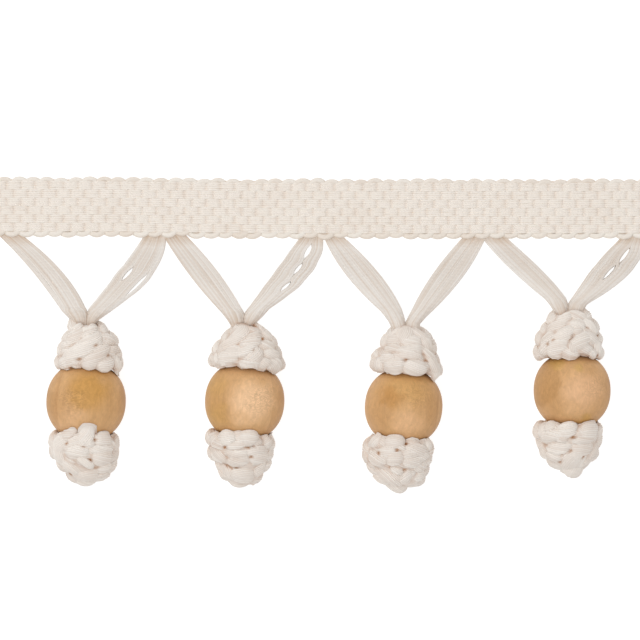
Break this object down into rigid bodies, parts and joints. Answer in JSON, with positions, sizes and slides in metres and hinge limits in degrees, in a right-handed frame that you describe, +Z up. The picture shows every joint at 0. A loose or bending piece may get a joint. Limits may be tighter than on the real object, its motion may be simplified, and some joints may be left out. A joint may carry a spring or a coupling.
{
  "type": "wooden ball fringe",
  "caption": "Cut length of cream woven cotton heading tape with looped yarn drops, each carrying a turned wooden ball between two knots, lying flat.",
  "frame": {"origin": "middle of the heading tape's flat back, on the surface that the fringe lies on", "axes": "+X along the tape, to the right in the picture; +Y from the balls to the tape; +Z up from the surface"},
  "size_m": [0.19, 0.086, 0.0217],
  "materials": {
    "cotton_heading": "matt cream woven cotton, basket-like weave with scalloped edges",
    "cotton_yarn": "matt cream cotton yarn, softly twisted",
    "cotton_knots": "matt cream cotton yarn worked into fat knots",
    "turned_wood": "pale tan turned wood, satin, fine grain"
  },
  "bodies": {
    "root": {"heading_tape": "cotton_heading", "ribbon_1_left": "cotton_yarn", "ribbon_1_right": "cotton_yarn", "upper_knot_1": "cotton_knots", "lower_knot_1": "cotton_knots", "ribbon_2_left": "cotton_yarn", "ribbon_2_right": "cotton_yarn", "upper_knot_2": "cotton_knots", "lower_knot_2": "cotton_knots", "ribbon_3_left": "cotton_yarn", "ribbon_3_right": "cotton_yarn", "upper_knot_3": "cotton_knots", "lower_knot_3": "cotton_knots", "ribbon_4_left": "cotton_yarn", "ribbon_4_right": "cotton_yarn", "upper_knot_4": "cotton_knots", "lower_knot_4": "cotton_knots"},
    "ball_1": {"ball_1": "turned_wood"},
    "ball_2": {"ball_2": "turned_wood"},
    "ball_3": {"ball_3": "turned_wood"},
    "ball_4": {"ball_4": "turned_wood"}
  },
  "joints": [
    {"name": "ball_1_spin", "type": "hinge", "parent": "root", "child": "ball_1", "pos_m": [-0.064, -0.0528, 0.01087], "axis": [0.0523, 0.9986, 0], "continuous": true},
    {"name": "ball_2_spin", "type": "hinge", "parent": "root", "child": "ball_2", "pos_m": [-0.0206, -0.0527, 0.01087], "axis": [0.061, 0.9981, 0], "continuous": true},
    {"name": "ball_3_spin", "type": "hinge", "parent": "root", "child": "ball_3", "pos_m": [0.0229, -0.0542, 0.01063], "axis": [0.0785, 0.9969, 0], "continuous": true},
    {"name": "ball_4_spin", "type": "hinge", "parent": "root", "child": "ball_4", "pos_m": [0.069, -0.0498, 0.01053], "axis": [0, 1, 0], "continuous": true}
  ]
}
